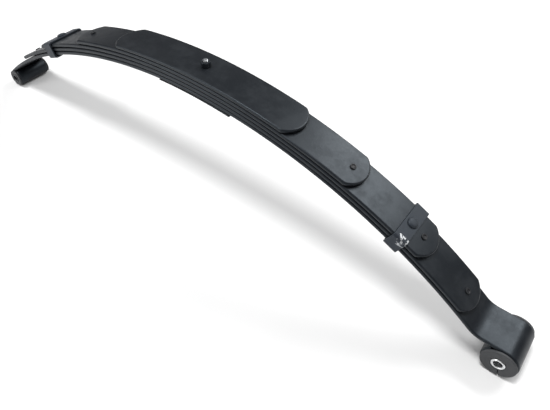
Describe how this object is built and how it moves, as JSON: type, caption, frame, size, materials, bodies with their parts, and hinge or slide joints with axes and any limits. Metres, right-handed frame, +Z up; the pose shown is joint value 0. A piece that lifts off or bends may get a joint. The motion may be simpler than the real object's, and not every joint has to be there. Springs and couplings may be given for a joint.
{
  "type": "leaf spring",
  "caption": "Arched multi-leaf suspension spring with a rolled eye at each end, rubber bushes with steel sleeves, rebound clips and a centre bolt.",
  "frame": {"origin": "middle of the base, on the floor that both eyes stand on", "axes": "+X from the rear (small) eye to the front (large) eye, +Y along the eyes' axes, +Z up through the arch"},
  "size_m": [1.0944, 0.0724, 0.2572],
  "materials": {
    "leaf_paint": "semi-gloss blue-black paint over rolled spring steel",
    "plate_paint": "satin black paint",
    "clip_paint": "satin black paint, chipped at one bend",
    "fastener": "black paint over zinc plate, worn on the thread",
    "pad_nylon": "moulded black nylon",
    "bush_rubber": "matt black moulded rubber",
    "sleeve_steel": "zinc-plated turned steel"
  },
  "bodies": {
    "spring_pack": {"main_leaf": "leaf_paint", "second_leaf": "leaf_paint", "third_leaf": "leaf_paint", "fourth_leaf": "leaf_paint", "fifth_leaf": "leaf_paint", "centre_plate": "plate_paint", "centre_bolt": "fastener", "centre_nut": "fastener", "second_leaf_pad_front": "pad_nylon", "third_leaf_pad_front": "pad_nylon", "fourth_leaf_pad_front": "pad_nylon", "second_leaf_pad_rear": "pad_nylon", "third_leaf_pad_rear": "pad_nylon", "fourth_leaf_pad_rear": "pad_nylon", "rebound_clip_front": "clip_paint", "rebound_clip_rear": "clip_paint", "clip_rivet_front": "clip_paint", "clip_rivet_rear": "clip_paint", "front_bush_left": "bush_rubber", "front_bush_right": "bush_rubber", "rear_bush_left": "bush_rubber", "rear_bush_right": "bush_rubber"},
    "front_inner_sleeve": {"front_sleeve": "sleeve_steel"},
    "rear_inner_sleeve": {"rear_sleeve": "sleeve_steel"}
  },
  "joints": [
    {"name": "front_sleeve_twist", "type": "hinge", "parent": "spring_pack", "child": "front_inner_sleeve", "pos_m": [0.52089, 0, 0.0264], "axis": [0, 1, 0], "range_deg": [-25, 25], "stiffness_Nm_per_rad": 20},
    {"name": "rear_sleeve_twist", "type": "hinge", "parent": "spring_pack", "child": "rear_inner_sleeve", "pos_m": [-0.53006, 0, 0.0172], "axis": [0, 1, 0], "range_deg": [-30, 30], "stiffness_Nm_per_rad": 12}
  ]
}
